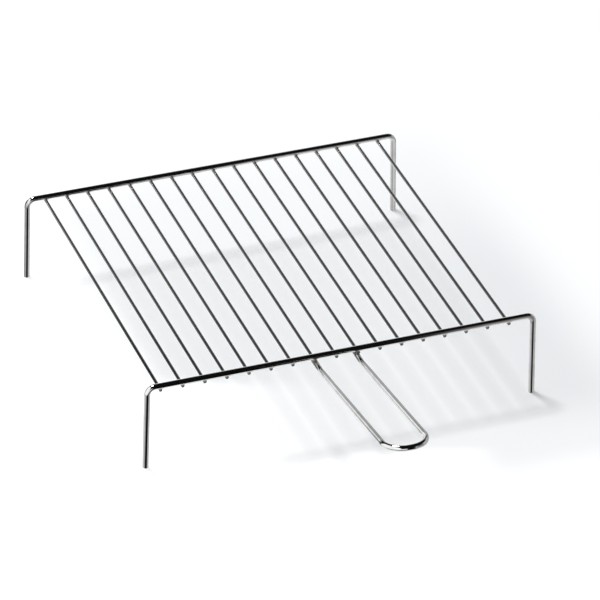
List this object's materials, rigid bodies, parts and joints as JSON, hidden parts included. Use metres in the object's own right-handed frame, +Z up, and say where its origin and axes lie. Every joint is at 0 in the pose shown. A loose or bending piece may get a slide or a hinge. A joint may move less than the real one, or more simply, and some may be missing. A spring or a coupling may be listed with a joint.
{
  "type": "hearth broiler",
  "caption": "Low wire hearth broiler: bent leg frames at the front and back carry a row of thin welded cross wires, with a long upswept loop handle at the front.",
  "frame": {"origin": "the point on the floor beneath the middle cross wire, midway between the front and the rear bar", "axes": "+Z up, +X to the right along the bars, -Y towards the handle and the person who holds it"},
  "size_m": [0.412, 0.5595, 0.1118],
  "materials": {
    "frame_wire": "bright plated steel wire",
    "grid_wire": "bright plated steel wire",
    "handle_wire": "bright plated steel wire"
  },
  "bodies": {
    "root": {"rear_leg_frame": "frame_wire", "front_leg_frame": "frame_wire", "cross_wire_01": "grid_wire", "cross_wire_02": "grid_wire", "cross_wire_03": "grid_wire", "cross_wire_04": "grid_wire", "cross_wire_05": "grid_wire", "cross_wire_06": "grid_wire", "cross_wire_07": "grid_wire", "cross_wire_08": "grid_wire", "cross_wire_09": "grid_wire", "cross_wire_10": "grid_wire", "cross_wire_11": "grid_wire", "cross_wire_12": "grid_wire", "cross_wire_13": "grid_wire", "cross_wire_14": "grid_wire", "cross_wire_15": "grid_wire", "cross_wire_16": "grid_wire", "cross_wire_17": "grid_wire", "handle": "handle_wire"}
  },
  "joints": []
}
